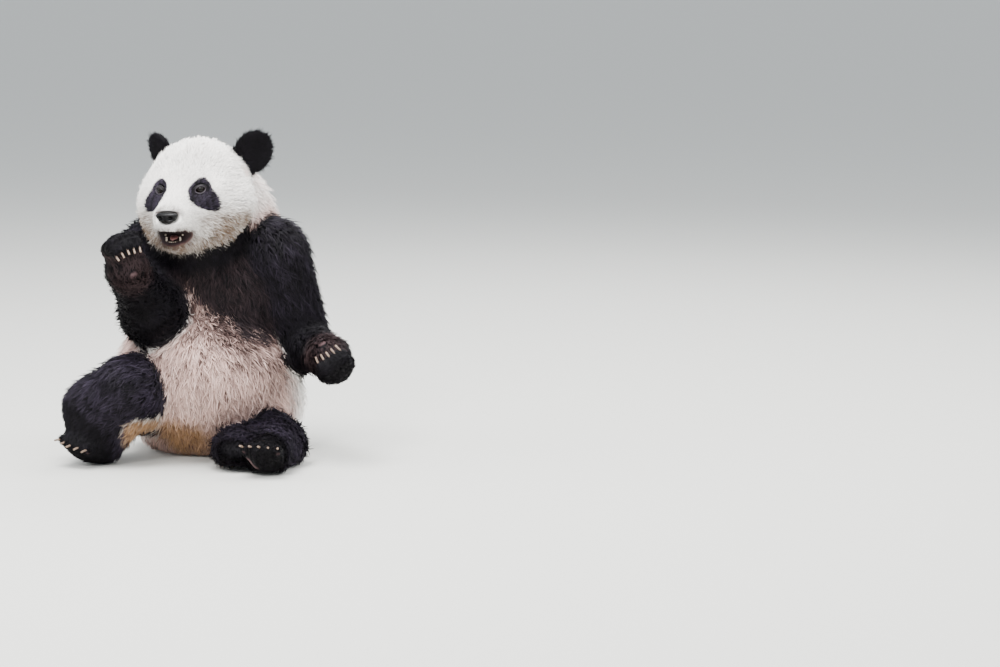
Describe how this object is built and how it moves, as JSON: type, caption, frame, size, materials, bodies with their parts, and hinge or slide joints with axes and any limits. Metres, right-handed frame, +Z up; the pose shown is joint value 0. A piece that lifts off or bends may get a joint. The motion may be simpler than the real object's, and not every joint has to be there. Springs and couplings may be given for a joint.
{
  "type": "giant panda, still life-size model",
  "caption": "Life-size still model of a giant panda that sits on its rump with one forepaw raised beside its open mouth.",
  "frame": {"origin": "on the floor under the trunk, on the flat that the rump rests on", "axes": "+Z up; the face and belly look along -Y; the animal's left is +X"},
  "size_m": [0.7741, 0.761, 0.8752],
  "materials": {
    "white_coat": "dense cream-white coat",
    "belly_coat": "beige coat with brown streaks",
    "black_coat": "brown-black coat",
    "nose_skin": "damp black skin",
    "eye_surface": "wet dark brown eye",
    "tongue_skin": "wet pink skin"
  },
  "bodies": {
    "root": {"abdomen": "belly_coat", "chest": "black_coat", "neck": "white_coat", "head": "white_coat", "lower_jaw": "white_coat", "tongue": "tongue_skin", "nose": "nose_skin", "eye_left": "eye_surface", "eye_right": "eye_surface", "ear_left": "black_coat", "ear_right": "black_coat", "tail": "white_coat", "upper_arm_left": "black_coat", "forearm_left": "black_coat", "forepaw_left": "black_coat", "thigh_left": "black_coat", "shank_left": "black_coat", "hind_paw_left": "black_coat", "upper_arm_right": "black_coat", "forearm_right": "black_coat", "forepaw_right": "black_coat", "thigh_right": "black_coat", "shank_right": "black_coat", "hind_paw_right": "black_coat"}
  },
  "joints": []
}
